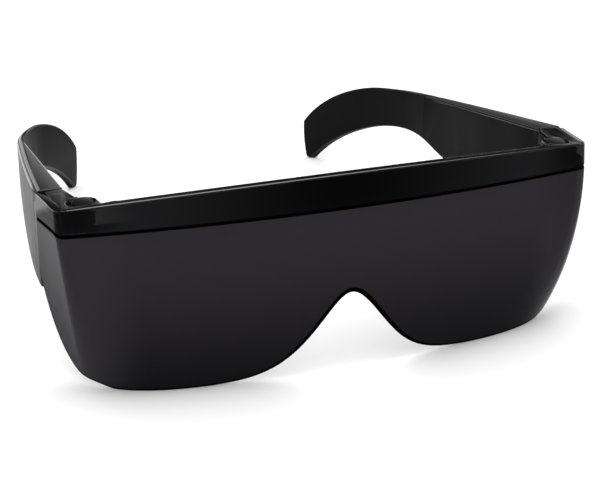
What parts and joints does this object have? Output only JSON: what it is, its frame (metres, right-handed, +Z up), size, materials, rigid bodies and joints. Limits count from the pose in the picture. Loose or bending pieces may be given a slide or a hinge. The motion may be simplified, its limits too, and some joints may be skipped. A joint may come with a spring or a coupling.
{
  "type": "low vision sunglasses",
  "caption": "Wraparound tinted lens under a brow band, with shield-like folding temples on pinned metal leaf hinges, sized to be worn over ordinary spectacles.",
  "frame": {"origin": "centre of the bounding box at its lowest point, on the surface that the lens edges and temple tips stand on", "axes": "+X to the right as seen from in front of the lens, +Y from the lens back along the open temples, +Z up; the temples are open at rest"},
  "size_m": [0.1538, 0.1528, 0.056],
  "materials": {
    "band_plastic": "glossy dark grey tinted plastic, slightly see-through",
    "lens_plastic": "glossy dark grey tinted lens",
    "temple_plastic": "glossy dark grey tinted plastic, slightly see-through",
    "leaf_black": "black painted stamped leaf",
    "pin_black": "black coated pin with a flat head",
    "rivet_black": "black rivet"
  },
  "bodies": {
    "front": {"brow_band": "band_plastic", "lens": "lens_plastic", "hinge_pin_left": "pin_black", "hinge_pin_right": "pin_black"},
    "left_temple": {"temple_left": "temple_plastic", "hinge_leaf_left": "leaf_black", "leaf_rivet_left": "rivet_black"},
    "right_temple": {"temple_right": "temple_plastic", "hinge_leaf_right": "leaf_black", "leaf_rivet_right": "rivet_black"}
  },
  "joints": [
    {"name": "left_fold", "type": "hinge", "parent": "front", "child": "left_temple", "pos_m": [-0.0669, -0.05899, 0.048], "axis": [0, 0, -1], "range_deg": [0, 76]},
    {"name": "right_fold", "type": "hinge", "parent": "front", "child": "right_temple", "pos_m": [0.0669, -0.05899, 0.048], "axis": [0, 0, 1], "range_deg": [0, 52]}
  ]
}
